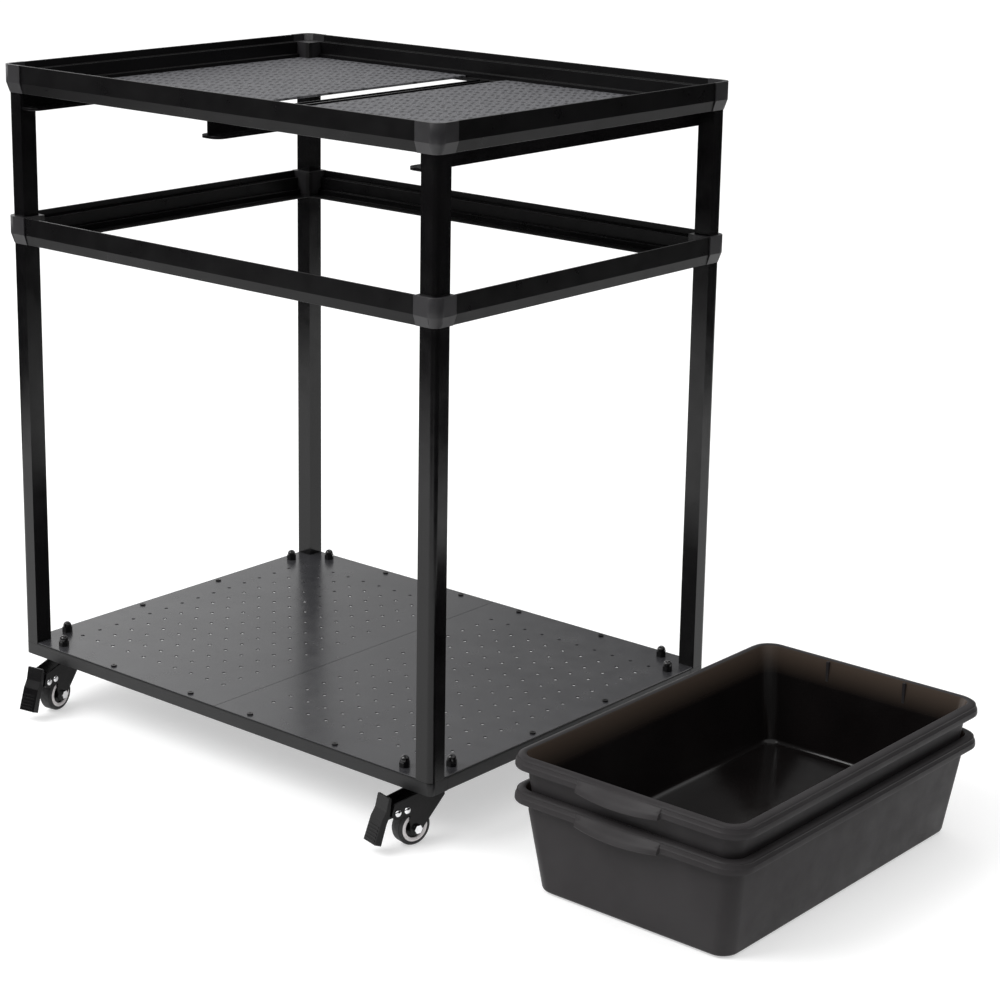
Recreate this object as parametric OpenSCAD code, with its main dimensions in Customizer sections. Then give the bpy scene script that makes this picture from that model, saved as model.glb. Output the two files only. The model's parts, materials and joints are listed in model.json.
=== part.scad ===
// Wheeled terrarium stand with two pull-out storage bins.
// Millimetres, +Z up. X runs along the width, the front looks to -Y, and the floor is Z = 0.
// The origin is the middle of the whole set's footprint: the stand to the left, the bins to the right.

/* [Stand] */
// Width over the posts
stand_w = 610; // [520:2:800]
// Depth over the posts
stand_d = 457; // [440:1:600]
// Height of the top rim above the floor
stand_h = 724; // [600:2:900]
// Drop from the top rim to the middle ring's rim
ring_drop = 163; // [140:1:240]

/* [Posts] */
// Side of the square post tube
post_s = 20; // [18:0.5:22]
// Wall of the post tube
post_wall = 1.2; // [0.8:0.1:2]
// Radius of the post's outer corner
post_r = 6; // [3:0.5:8]

/* [Ring rails] */
// Height of the rail section
rail_h = 30; // [26:0.5:36]
// Height of the slanted foot of the rail's outer face
rail_slant_h = 11; // [8:0.5:14]
// How far the rail's lip stands out past the posts
rail_proud = 3; // [2:0.5:5]
// Thickness of the upright lip
lip_t = 2.2; // [1.5:0.1:3]
// Depth of the seat below the lip's edge
seat_depth = 8; // [5:0.5:10]
// Width of the seat that the terrarium stands on
seat_w = 5.8; // [4:0.2:8]
// Wall of the rail section
rail_wall = 1.5; // [1:0.1:2]
// Width of the step between the seat and the panel shelf
step_w = 4; // [3:0.5:6]
// Height of that step above the rail's underside
step_h = 8; // [6:0.5:10]
// Reach of the panel shelf from the post's outer face
shelf_reach = 24; // [22:0.5:28]

/* [Corner connectors] */
// Length of a connector's arm from the post's outer face
conn_arm = 24.5; // [23:0.5:30]
// How far the connector stands out past the rails
conn_proud = 1.5; // [0.5:0.1:2.5]
// Radius of the connector's outer corner
conn_r = 11; // [7:0.5:14]
// How far the connector's foot stands out past the post
conn_foot = 0.8; // [0.5:0.1:1.5]
// Thickness of the connector's cap over a top post
cap_t = 2; // [1.5:0.5:3]
// Length of the tongue that plugs into a rail
tongue_l = 14; // [8:1:20]
// Clearance between the tongue and the rail's chamber
tongue_gap = 0.3; // [0.1:0.1:0.6]

/* [Bin runners] */
// Height of the runners below the top ring
runner_h = 16; // [12:0.5:24]
// Flange width of a side runner
runner_flange = 20; // [14:0.5:26]
// Radius of the runner flanges' corners
runner_r = 10; // [4:0.5:14]
// Flange width of the middle runner
tee_flange = 28; // [20:1:36]
// Thickness of the runners
runner_t = 1.5; // [1:0.1:2.5]
// Thickness of the runner flanges over their rolled edges
flange_t = 3; // [2:0.1:4]

/* [Top deck] */
// Thickness of a deck panel
panel_t = 2.5; // [2:0.1:4]
// Gap between the two deck panels
panel_gap = 22; // [10:1:30]
// Clearance round a deck panel
panel_clear = 0.6; // [0.3:0.1:1]

/* [Bottom shelf] */
// Thickness of the perforated sheet
sheet_t = 1.2; // [0.8:0.1:2]
// Width of the bottom frame tube
tube_w = 25; // [22:0.5:30]
// Height of the bottom frame tube
tube_h = 13.8; // [12:0.2:20]
// Wall of the bottom frame tube
tube_wall = 1.2; // [1:0.1:2]
// Thickness of the closed ends of the front and back tubes
tube_end = 4; // [3:0.5:8]
// How far the sheet's edges lie in from the frame's faces
sheet_inset = 1; // [0.5:0.1:2]
// Height of the sheet's folded inner edge
sheet_fold = 11; // [6:0.5:14]
// Gap between the two sheets
sheet_gap = 0.6; // [0.3:0.1:1.5]
// Clearance round a post where it passes a sheet or a connector
post_clear = 0.2; // [0.1:0.1:0.5]
// Pitch of the perforation
hole_pitch = 25.4; // [20:0.1:32]
// Diameter of a perforation
hole_d = 4.4; // [3:0.1:6]
// Columns of holes in one sheet
hole_cols = 10; // [6:1:12]
// Rows of holes from front to back
hole_rows = 15; // [9:1:17]

/* [Shelf screws] */
// Spacing of the shelf screws along an edge
screw_pitch = 122; // [90:1:130]
// Distance of the first front screw from the centre seam
screw_start = 45; // [30:1:60]
// Distance of the screws from the edge
screw_edge = 9; // [6:0.5:11]
// Head diameter of a shelf screw
screw_head_d = 6.4; // [5:0.1:8]
// Head height of a shelf screw
screw_head_h = 1.6; // [1:0.1:2.5]
// Shank diameter of a shelf screw
screw_d = 4; // [3:0.1:5]

/* [Caster bolts] */
// Diameter of the caster bolts
bolt_d = 6; // [5:0.5:6.5]
// Across flats of the dome nuts
nut_af = 10; // [9:0.5:11]
// Height of the dome nuts
nut_h = 12; // [9:0.5:14]
// Half of the caster plate's hole spacing
bolt_half = 16.5; // [15:0.5:18]

/* [Casters] */
// Distance from a post's outer faces to the swivel axis
caster_in = 31.5; // [30:0.5:34]
// Height of a caster from the floor to the top of its plate
caster_h = 62; // [60:1:70]
// Side of the caster plate
plate_s = 48; // [44:1:52]
// Thickness of the caster plate
plate_t = 2; // [1.5:0.1:3]
// Wheel diameter
wheel_d = 38; // [34:1:40]
// Width of the wheel
wheel_w = 15; // [12:0.5:18]
// Thickness of the tyre
tyre_t = 4; // [3:0.5:5]
// Trail of the wheel behind the swivel axis
trail = 20.5; // [18:0.5:23]
// Thickness of the fork
fork_t = 2; // [1.5:0.1:2.5]
// Clearance between the wheel and each fork leg
wheel_gap = 1.2; // [0.8:0.1:2]
// Diameter of the axle
axle_d = 6; // [5:0.5:7]
// Running clearance on the radius of an axle, a kingpin or a pedal pin
running = 0.05; // [0.03:0.01:0.1]
// Swivel radius of the fork's crown
crown_r = 15; // [13:0.5:17]
// Width of the brake pedal
pedal_w = 20; // [16:0.5:24]

/* [Bins] */
// Height of a bin
bin_h = 106; // [90:1:130]
// Width of a bin over its rim
bin_w = 270; // [240:1:280]
// Length of a bin over its rim
bin_l = 434; // [400:1:440]
// Width of the rim's flat
bin_rim = 9; // [6:0.5:12]
// Height of the rim's skirt
bin_skirt = 12; // [8:0.5:16]
// Wall of a bin
bin_wall = 2; // [1.5:0.1:2.5]
// Draft of the long walls, over the whole height
bin_draft_x = 15; // [13:0.5:20]
// Draft of the short walls, over the whole height
bin_draft_y = 13; // [11:0.5:18]
// Corner radius of the rim
bin_r = 26; // [18:1:34]
// How far the upper bin stands above the lower one
bin_nest = 34; // [32:1:40]
// Reach of the handle tongue past the rim
handle_reach = 9; // [5:0.5:14]
// Width of the handle tongue
handle_w = 96; // [70:1:130]
// Drop of the handle tongue's edge below the rim
handle_drop = 7; // [3:0.5:10]
// Thickness of the nesting ribs
rib_t = 3; // [2:0.5:4]
// Distance of the nesting ribs from the bin's middle
rib_x = 46; // [30:1:70]
// Gap on the floor between the stand and the bins
bin_aside = 96; // [60:1:200]

/* [Hidden] */
$fn = 48;
eps = 0.01;

black = [0.07, 0.07, 0.08];
charcoal = [0.2, 0.2, 0.21];
panel_grey = [0.4, 0.4, 0.42];
chrome = [0.8, 0.8, 0.82];

// Heights
base_z = caster_h;
sheet_z = base_z + tube_h;
shelf_z = sheet_z + sheet_t;
top_z = stand_h - rail_h;
mid_z = stand_h - ring_drop - rail_h;
seat_z = rail_h - seat_depth;
post_top_z = top_z + seat_z - cap_t;

// The stand's middle, set aside so that the whole set is centred on the origin
conn_out = rail_proud + conn_proud;
stand_x = -(bin_aside + bin_w) / 2;
bin_x = stand_x + stand_w / 2 + conn_out + bin_aside + bin_w / 2;
bin_y = -22;
nest_gap = 0.3;
rib_l = bin_rim + 4;

// Rail section
lip_in = rail_proud - lip_t;
seat_in = seat_w - lip_in;
step_in = seat_in + step_w;

// Caster
wheel_r = wheel_d / 2;
wheel_z = wheel_r;
leg_in = wheel_w / 2 + wheel_gap;
leg_out = leg_in + fork_t;
race_t = 3;
race_gap = 0.4;
crown_z = caster_h - plate_t - race_t - race_gap;
king_r = 4;
king_head_r = 6.5;
king_head_t = 1.5;
pedal_x = -trail - 22.5;
pedal_z = wheel_z + 21.5;
pedal_pin_r = 2.4;
rivet_x = -trail - 11.5;
rivet_z = wheel_z + 22;
rivet_r = 3.4;
pin_gap = 0.15;
// Turn of each caster about its swivel axis, front pair as it stands, back pair trailing to the back
yaw_front_left = 100;
yaw_front_right = 76.5;
yaw_back_left = -80;
yaw_back_right = -102;

// Sheet outline
sheet_w = stand_w / 2 - sheet_gap / 2;
bolt_hole_r = bolt_d / 2 + 0.2;
screw_r = screw_d / 2;
screw_reach = sheet_t + tube_wall + 3;
bolt_head_h = 3;

module at_stand() {
    translate([stand_x, 0, 0]) children();
}

// Children drawn for the front left corner, with that corner of the posts at the origin
module corner(sx, sy) {
    at_stand()
        translate([sx * stand_w / 2, sy * stand_d / 2, 0])
            mirror([sx > 0 ? 1 : 0, 0, 0])
                mirror([0, sy > 0 ? 1 : 0, 0])
                    children();
}

// Square from the origin whose corner at the origin is rounded
module corner_square(side, r) {
    difference() {
        square(side);
        difference() {
            translate([-1, -1]) square(r + 1);
            translate([r, r]) circle(r);
        }
    }
}

module rounded_rect(w, l, r) {
    union() {
        square([w - 2 * r, l], center = true);
        square([w, l - 2 * r], center = true);
        for (sx = [-1, 1], sy = [-1, 1])
            translate([sx * (w / 2 - r), sy * (l / 2 - r)]) circle(r);
    }
}

module post(sx, sy) {
    color(black)
        corner(sx, sy)
            translate([0, 0, sheet_z])
                linear_extrude(post_top_z - sheet_z)
                    difference() {
                        corner_square(post_s, post_r);
                        translate([post_wall, post_wall])
                            corner_square(post_s - 2 * post_wall, post_r - post_wall);
                    }
}

// Rail section: X runs inward from the post's outer face, Y up from the rail's underside
module rail_section() {
    difference() {
        polygon([
            [0, 0], [-rail_proud, rail_slant_h], [-rail_proud, rail_h], [-lip_in, rail_h],
            [-lip_in, seat_z], [seat_in, seat_z], [seat_in, step_h], [step_in, step_h],
            [step_in, rail_wall], [shelf_reach, rail_wall], [shelf_reach, 0]
        ]);
        rail_chamber(0);
    }
}

// The closed chamber of the rail, drawn in by a clearance
module rail_chamber(gap) {
    low = rail_wall + gap;
    out_top = -rail_proud + rail_wall + gap;
    out_low = out_top + rail_proud * (1 - low / rail_slant_h);
    polygon([
        [out_low, low], [out_top, rail_slant_h], [out_top, seat_z - rail_wall - gap],
        [seat_in - rail_wall - gap, seat_z - rail_wall - gap], [seat_in - rail_wall - gap, step_h - rail_wall - gap],
        [step_in - rail_wall - gap, step_h - rail_wall - gap], [step_in - rail_wall - gap, low]
    ]);
}

// Stands a section up and runs it along X, for the front side
module along_x(from, length) {
    translate([from, 0, 0])
        rotate([90, 0, 90])
            linear_extrude(length)
                children();
}

// Runs a section along Y, for the left side
module along_y(from, length) {
    translate([0, from + length, 0])
        rotate([90, 0, 0])
            linear_extrude(length)
                children();
}

module rail_x(sy, z) {
    color(black)
        corner(-1, sy)
            translate([0, 0, z])
                along_x(conn_arm, stand_w - 2 * conn_arm)
                    rail_section();
}

module rail_y(sx, z) {
    color(black)
        corner(sx, -1)
            translate([0, 0, z])
                along_y(conn_arm, stand_d - 2 * conn_arm)
                    rail_section();
}

// Outer face of a connector, as a section from the outside in
module conn_section() {
    polygon([
        [-conn_foot, 0], [-conn_out, rail_slant_h], [-conn_out, rail_h],
        [conn_arm, rail_h], [conn_arm, 0]
    ]);
}

// Both tongues of a connector, in the chambers of its two rails
module tongues() {
    along_x(conn_arm - eps, tongue_l) rail_chamber(tongue_gap);
    along_y(conn_arm - eps, tongue_l) rail_chamber(tongue_gap);
}

module conn_block() {
    turn = conn_r - conn_out;
    union() {
        along_x(turn - eps, conn_arm - turn + eps) conn_section();
        along_y(turn - eps, conn_arm - turn + eps) conn_section();
        translate([turn, turn, 0])
            rotate([0, 0, 180])
                rotate_extrude(angle = 90)
                    polygon([[0, 0], [turn + conn_foot, 0], [conn_r, rail_slant_h], [conn_r, rail_h], [0, rail_h]]);
    }
}

// Cap of the top ring's corner: its lip runs on round the terrarium's seat, and the post plugs in from below
module top_corner(sx, sy) {
    color(charcoal)
        corner(sx, sy)
            translate([0, 0, top_z]) {
                difference() {
                    conn_block();
                    translate([-lip_in, -lip_in, seat_z])
                        linear_extrude(rail_h)
                            corner_square(conn_arm + conn_out, conn_r - conn_out + lip_in);
                    translate([-post_clear, -post_clear, -1])
                        linear_extrude(seat_z - cap_t + 1)
                            corner_square(post_s + 2 * post_clear, post_r);
                }
                tongues();
            }
}

// Collar of the middle ring's corner: the post passes through it
module mid_corner(sx, sy) {
    color(charcoal)
        corner(sx, sy)
            translate([0, 0, mid_z]) {
                difference() {
                    conn_block();
                    translate([-post_clear, -post_clear, -1])
                        linear_extrude(rail_h + 2)
                            corner_square(post_s + 2 * post_clear, post_r);
                }
                tongues();
            }
}

module tube_section() {
    difference() {
        square([tube_w, tube_h]);
        translate([tube_wall, tube_wall])
            square([tube_w - 2 * tube_wall, tube_h - 2 * tube_wall]);
    }
}

// Upright holes at a list of places
module drill(places, r, from, length) {
    for (p = places)
        translate([p[0], p[1], from]) cylinder(r = r, h = length);
}

function front_bolts() = [
    for (sx = [-1, 1]) [sx * (stand_w / 2 - caster_in - bolt_half), -stand_d / 2 + caster_in - bolt_half]
];
function side_bolts() = [
    for (sy = [-1, 1]) [-stand_w / 2 + caster_in - bolt_half, sy * (stand_d / 2 - caster_in - bolt_half)]
];
function front_screws() = [
    for (sx = [-1, 1], i = [0, 1]) [sx * (screw_start + i * screw_pitch), -stand_d / 2 + screw_edge]
];
function side_screws() = [
    for (sy = [-1, 1]) [-stand_w / 2 + screw_edge, sy * screw_pitch / 2]
];
function turned(places) = [for (p = places) [-p[0], -p[1]]];
function all_bolts() = concat(front_bolts(), turned(front_bolts()), side_bolts(), turned(side_bolts()));
function all_screws() = concat(front_screws(), turned(front_screws()), side_screws(), turned(side_screws()));

// Front or back tube: closed at both ends, its outer corners rounded like the posts that stand on it
module base_rail_x(sy) {
    color(black)
        difference() {
            corner(-1, sy)
                translate([0, 0, base_z])
                    difference() {
                        linear_extrude(tube_h)
                            intersection() {
                                square([stand_w, tube_w]);
                                corner_square(stand_w, post_r);
                                translate([stand_w, 0]) mirror([1, 0]) corner_square(stand_w, post_r);
                            }
                        translate([tube_end, tube_wall, tube_wall])
                            cube([stand_w - 2 * tube_end, tube_w - 2 * tube_wall, tube_h - 2 * tube_wall]);
                    }
            at_stand() {
                drill(all_bolts(), bolt_hole_r, base_z - 1, tube_h + 2);
                drill(all_screws(), screw_r, base_z + tube_h / 2, tube_h);
            }
        }
}

module base_rail_y(sx) {
    color(black)
        difference() {
            corner(sx, -1)
                translate([0, 0, base_z])
                    along_y(tube_w, stand_d - 2 * tube_w)
                        tube_section();
            at_stand() {
                drill(all_bolts(), bolt_hole_r, base_z - 1, tube_h + 2);
                drill(all_screws(), screw_r, base_z + tube_h / 2, tube_h);
            }
        }
}

// Perforated sheet with its seam edge folded down, drawn for the left half
module shelf_sheet(sx) {
    color(panel_grey)
        difference() {
            corner(sx, -1)
                union() {
                    translate([0, 0, sheet_z])
                        linear_extrude(sheet_t)
                            difference() {
                                translate([sheet_inset, sheet_inset])
                                    square([sheet_w - sheet_inset, stand_d - 2 * sheet_inset]);
                                for (y = [-1, stand_d - post_s - post_clear])
                                    translate([-1, y]) square(post_s + post_clear + 1);
                            }
                    translate([sheet_w - sheet_t, tube_w + 1, sheet_z - sheet_fold])
                        cube([sheet_t, stand_d - 2 * tube_w - 2, sheet_fold + eps]);
                }
            at_stand() {
                drill(all_bolts(), bolt_hole_r, sheet_z - 1, sheet_t + 2);
                drill(all_screws(), screw_r, sheet_z - 1, sheet_t + 2);
                drill(
                    [for (i = [0 : hole_cols - 1], j = [0 : hole_rows - 1])
                        [sx * (i + 1.5) * hole_pitch, (j - (hole_rows - 1) / 2) * hole_pitch]],
                    hole_d / 2, sheet_z - 1, sheet_t + 2
                );
            }
        }
}

module shelf_screws() {
    color(black)
        at_stand()
            for (p = all_screws())
                translate([p[0], p[1], shelf_z]) {
                    difference() {
                        cylinder(d = screw_head_d, h = screw_head_h);
                        for (a = [0, 90])
                            rotate(a)
                                translate([-screw_head_d / 4, -0.4, screw_head_h - 0.8])
                                    cube([screw_head_d / 2, 0.8, 1]);
                    }
                    translate([0, 0, -screw_reach]) cylinder(r = screw_r, h = screw_reach + eps);
                }
}

// Hexagon-head bolts, up through caster plate, frame tube and sheet
module caster_bolts() {
    head_z = base_z - plate_t;
    color(chrome)
        at_stand()
            for (p = all_bolts())
                translate([p[0], p[1], 0]) {
                    translate([0, 0, head_z - bolt_head_h])
                        cylinder(d = nut_af / cos(30), h = bolt_head_h, $fn = 6);
                    translate([0, 0, head_z - eps])
                        cylinder(d = bolt_d, h = shelf_z - head_z + nut_h / 2);
                }
}

// Dome nuts on the sheet: hexagon, neck and dome over a blind thread
module dome_nuts() {
    hex_h = nut_h * 0.5;
    dome_r = nut_af * 0.47;
    color(black)
        at_stand()
            for (p = all_bolts())
                translate([p[0], p[1], shelf_z])
                    difference() {
                        union() {
                            cylinder(d = nut_af / cos(30), h = hex_h, $fn = 6);
                            cylinder(r = dome_r, h = nut_h - dome_r);
                            translate([0, 0, nut_h - dome_r]) sphere(dome_r);
                        }
                        translate([0, 0, -1]) cylinder(d = bolt_d, h = nut_h / 2 + 1.5);
                        translate([0, 0, -10]) cube([30, 30, 20], center = true);
                    }
}

module runner_side(sx) {
    length = stand_d - 2;
    color(black)
        corner(sx, -1)
            translate([post_s, 1, top_z - runner_h])
                union() {
                    cube([runner_t, length, runner_h]);
                    translate([0, 0, runner_t - flange_t])
                        linear_extrude(flange_t)
                            intersection() {
                                square([runner_flange, length]);
                                translate([0, length / 2]) rounded_rect(2 * runner_flange, length, runner_r);
                            }
                }
}

// T runner: the web rises between the deck panels and the flange carries a rim on each side
module runner_middle() {
    web_rise = rail_wall + panel_t;
    color(black)
        at_stand()
            translate([0, 0, top_z - runner_h])
                union() {
                    translate([0, 0, runner_t - flange_t])
                        linear_extrude(flange_t)
                            rounded_rect(tee_flange, stand_d - 2 * rail_wall, min(runner_r, tee_flange / 2 - 1));
                    translate([-runner_t / 2, -stand_d / 2 + rail_wall, 0])
                        cube([runner_t, stand_d - 2 * rail_wall, runner_h]);
                    translate([-runner_t / 2, -stand_d / 2 + shelf_reach + 1, 0])
                        cube([runner_t, stand_d - 2 * shelf_reach - 2, runner_h + web_rise]);
                }
}

module deck_panel(sx) {
    edge = step_in + panel_clear;
    notch = conn_arm + panel_clear;
    color(panel_grey)
        corner(sx, -1)
            translate([0, 0, top_z + rail_wall])
                linear_extrude(panel_t)
                    difference() {
                        translate([edge, edge])
                            square([stand_w / 2 - panel_gap / 2 - edge, stand_d - 2 * edge]);
                        for (y = [0, stand_d - notch])
                            translate([0, y]) square(notch);
                    }
}

// Children drawn with the swivel axis at the origin and the wheel trailing to -X
module caster(sx, sy, yaw) {
    at_stand()
        translate([sx * (stand_w / 2 - caster_in), sy * (stand_d / 2 - caster_in), 0])
            rotate(yaw)
                children();
}

// Fixed plate with its race and kingpin; the plate stays square to the stand
module caster_plate(sx, sy) {
    color(chrome)
        caster(sx, sy, 0)
            union() {
                translate([0, 0, caster_h - plate_t])
                    linear_extrude(plate_t)
                        difference() {
                            rounded_rect(plate_s, plate_s, 5);
                            for (bx = [-1, 1], by = [-1, 1])
                                translate([bx * bolt_half, by * bolt_half]) circle(bolt_hole_r);
                        }
                translate([0, 0, caster_h - plate_t - race_t]) cylinder(r = crown_r - 3, h = race_t + eps);
                translate([0, 0, crown_z - fork_t - running - king_head_t])
                    cylinder(r = king_r, h = fork_t + race_t + king_head_t + 1);
                translate([0, 0, crown_z - fork_t - running * 4 - king_head_t])
                    cylinder(r = king_head_r, h = king_head_t);
            }
}

// Outline of a fork leg, X to the front of the caster, Y up
module leg_outline() {
    union() {
        polygon([
            [crown_r - 2, crown_z], [crown_r - 2, crown_z - 9], [-trail + 7.5, wheel_z - 1],
            [-trail - 7.5, wheel_z - 1], [-trail - 8, wheel_z + 15.5], [pedal_x - 4.5, pedal_z - 5],
            [pedal_x - 7, pedal_z], [pedal_x - 4, crown_z - 6], [-trail + 2, crown_z]
        ]);
        translate([-trail, wheel_z]) circle(7.5);
        translate([pedal_x, pedal_z]) circle(7);
    }
}

// Domed rivet heads on both sides of a caster
module rivet_heads(x, z, out) {
    for (s = [-1, 1])
        translate([x, s * out, z])
            rotate([s * -90, 0, 0])
                rotate_extrude()
                    polygon([[0, 0], [rivet_r, 0], [rivet_r * 0.94, 0.6], [rivet_r * 0.62, 1.3], [0, 1.6]]);
}

module caster_fork(sx, sy, yaw) {
    color(black)
        caster(sx, sy, yaw)
            difference() {
                union() {
                    translate([0, 0, crown_z - fork_t])
                        linear_extrude(fork_t) {
                            circle(crown_r);
                            translate([-trail + 2, -leg_out]) square([trail - 2, 2 * leg_out]);
                        }
                    for (s = [-1, 1])
                        translate([0, s * (leg_in + fork_t / 2), 0])
                            rotate([90, 0, 0])
                                translate([0, 0, -fork_t / 2])
                                    linear_extrude(fork_t)
                                        leg_outline();
                    rivet_heads(rivet_x, rivet_z, leg_out);
                    translate([rivet_x, 0, rivet_z])
                        rotate([90, 0, 0])
                            cylinder(r = 1.8, h = 2 * leg_out, center = true);
                }
                translate([0, 0, crown_z - fork_t - 1]) cylinder(r = king_r + running, h = fork_t + 2);
                translate([-trail, 0, wheel_z])
                    rotate([90, 0, 0])
                        cylinder(d = axle_d, h = 2 * leg_out + 2, center = true);
                translate([pedal_x, 0, pedal_z])
                    rotate([90, 0, 0])
                        cylinder(r = pedal_pin_r + running, h = 2 * leg_out + 4, center = true);
            }
}

// Across the wheel: a disc or ring on the axle line
module on_axle() {
    translate([-trail, 0, wheel_z]) rotate([90, 0, 0]) children();
}

module tyre(sx, sy, yaw) {
    edge = 2.2;
    color(black)
        caster(sx, sy, yaw)
            on_axle()
                rotate_extrude()
                    polygon([
                        [wheel_r - tyre_t, -wheel_w / 2], [wheel_r - edge, -wheel_w / 2],
                        [wheel_r - 0.6, -wheel_w / 2 + 1], [wheel_r, -wheel_w / 2 + edge],
                        [wheel_r, wheel_w / 2 - edge], [wheel_r - 0.6, wheel_w / 2 - 1],
                        [wheel_r - edge, wheel_w / 2], [wheel_r - tyre_t, wheel_w / 2]
                    ]);
}

// Hub with a dished face inside its rim on each side
module wheel_hub(sx, sy, yaw) {
    hub_r = wheel_r - tyre_t;
    rim = 2.4;
    dish = 2.5;
    boss_r = axle_d / 2 + 2.5;
    color(charcoal)
        caster(sx, sy, yaw)
            on_axle()
                rotate_extrude()
                    polygon([
                        [axle_d / 2 + running, -wheel_w / 2 - wheel_gap / 2], [boss_r, -wheel_w / 2 - wheel_gap / 2],
                        [boss_r, -wheel_w / 2 + dish], [hub_r - rim, -wheel_w / 2 + dish],
                        [hub_r - rim, -wheel_w / 2], [hub_r, -wheel_w / 2],
                        [hub_r, wheel_w / 2], [hub_r - rim, wheel_w / 2],
                        [hub_r - rim, wheel_w / 2 - dish], [boss_r, wheel_w / 2 - dish],
                        [boss_r, wheel_w / 2 + wheel_gap / 2], [axle_d / 2 + running, wheel_w / 2 + wheel_gap / 2]
                    ]);
}

// Axle bolt with its head on one leg and its nut on the other
module axle(sx, sy, yaw) {
    head = 3.6;
    color(chrome)
        caster(sx, sy, yaw)
            on_axle()
                union() {
                    cylinder(d = axle_d, h = 2 * leg_out + 1, center = true);
                    translate([0, 0, leg_out]) cylinder(d = 9.4, h = head, $fn = 6);
                    translate([0, 0, -leg_out - head]) cylinder(d = 9.4, h = head, $fn = 6);
                }
}

// Rocker pedal: pin between the legs, shoe over the tyre, an upper and a lower tread outside
module brake_pedal(sx, sy, yaw) {
    arm_w = 2 * leg_in - 1.6;
    color(black)
        caster(sx, sy, yaw)
            union() {
                translate([pedal_x, 0, pedal_z])
                    rotate([90, 0, 0])
                        cylinder(r = pedal_pin_r, h = 2 * (leg_out + pin_gap + eps), center = true);
                rivet_heads(pedal_x, pedal_z, leg_out + pin_gap);
                translate([0, arm_w / 2, 0])
                    rotate([90, 0, 0])
                        linear_extrude(arm_w)
                            union() {
                                translate([pedal_x, pedal_z]) circle(4.6);
                                polygon([
                                    [pedal_x, pedal_z + 4.5], [pedal_x - 11, pedal_z + 6],
                                    [pedal_x - 13, pedal_z - 6], [pedal_x, pedal_z - 4.5]
                                ]);
                                polygon([
                                    [pedal_x, pedal_z - 4.5], [pedal_x + 4.5, pedal_z - 4.5],
                                    [pedal_x + 8.2, pedal_z - 7.4], [pedal_x + 5.3, pedal_z - 10.3],
                                    [pedal_x - 2, pedal_z - 6]
                                ]);
                            }
                translate([0, pedal_w / 2, 0])
                    rotate([90, 0, 0])
                        linear_extrude(pedal_w)
                            polygon([
                                [pedal_x - 7.4, crown_z + 1], [pedal_x - 10.2, crown_z + 1.6],
                                [pedal_x - 13.5, pedal_z + 4], [pedal_x - 18.5, pedal_z - 4],
                                [pedal_x - 27, wheel_z - 6], [pedal_x - 19.5, wheel_z - 9],
                                [pedal_x - 13, pedal_z - 9], [pedal_x - 9.4, pedal_z - 1.5],
                                [pedal_x - 8.4, pedal_z + 6]
                            ]);
            }
}

// Rounded slab of a bin at a height, drawn in from the body's top outline
module bin_slab(z, inset_x, inset_y, thick) {
    w = bin_w - 2 * bin_rim - 2 * inset_x;
    l = bin_l - 2 * bin_rim - 2 * inset_y;
    translate([0, 0, z])
        linear_extrude(thick)
            rounded_rect(w, l, bin_r - bin_rim);
}

// Tapered body between two heights, drawn in by a wall
module bin_taper(low, high, wall) {
    hull() {
        bin_slab(low, bin_draft_x * (1 - low / bin_h) + wall, bin_draft_y * (1 - low / bin_h) + wall, eps);
        bin_slab(high - eps, bin_draft_x * (1 - high / bin_h) + wall, bin_draft_y * (1 - high / bin_h) + wall, eps);
    }
}

// Flat rim with its skirt
module bin_edge() {
    difference() {
        translate([0, 0, bin_h - bin_skirt]) linear_extrude(bin_skirt) rounded_rect(bin_w, bin_l, bin_r);
        translate([0, 0, bin_h - bin_skirt - 1])
            linear_extrude(bin_skirt - bin_wall + 1)
                rounded_rect(bin_w - 2 * bin_wall, bin_l - 2 * bin_wall, bin_r - bin_wall);
        translate([0, 0, bin_h - bin_wall - 1])
            linear_extrude(bin_wall + 2)
                rounded_rect(
                    bin_w - 2 * bin_rim - 2 * bin_wall, bin_l - 2 * bin_rim - 2 * bin_wall,
                    bin_r - bin_rim - bin_wall
                );
    }
}

// Ribs under the rim of the short walls: the long ones at the back stand on the rim of the bin below
module nest_ribs() {
    rib_high = bin_h - bin_wall / 2;
    for (sx = [-1, 1], side = [[-1, bin_h - bin_skirt], [1, bin_h - bin_nest + nest_gap]])
        translate([sx * rib_x - rib_t / 2, side[0] * (bin_l / 2 - 3) - (side[0] > 0 ? rib_l : 0), side[1]])
            cube([rib_t, rib_l, rib_high - side[1]]);
}

// Handle tongue of the front rim: it slopes out and down and ends in an arc
module bin_handle() {
    arc_r = (handle_w * handle_w / 4 + handle_reach * handle_reach) / (2 * handle_reach);
    far = handle_reach + bin_wall + 1;
    intersection() {
        translate([0, -bin_l / 2 - handle_reach + arc_r, 0]) cylinder(r = arc_r, h = bin_h + 1);
        translate([-handle_w / 2, -bin_l / 2 + bin_wall, bin_h])
            rotate([90, 0, 90])
                linear_extrude(handle_w)
                    polygon([[0, 0], [0, -bin_wall], [-far, -bin_wall - handle_drop], [-far, -handle_drop]]);
    }
}

module bin(z) {
    color(charcoal)
        translate([bin_x, bin_y, z])
            union() {
                difference() {
                    union() {
                        bin_taper(0, bin_h, 0);
                        nest_ribs();
                    }
                    bin_taper(bin_wall, bin_h + 1, bin_wall);
                }
                bin_edge();
                bin_handle();
            }
}

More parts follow.
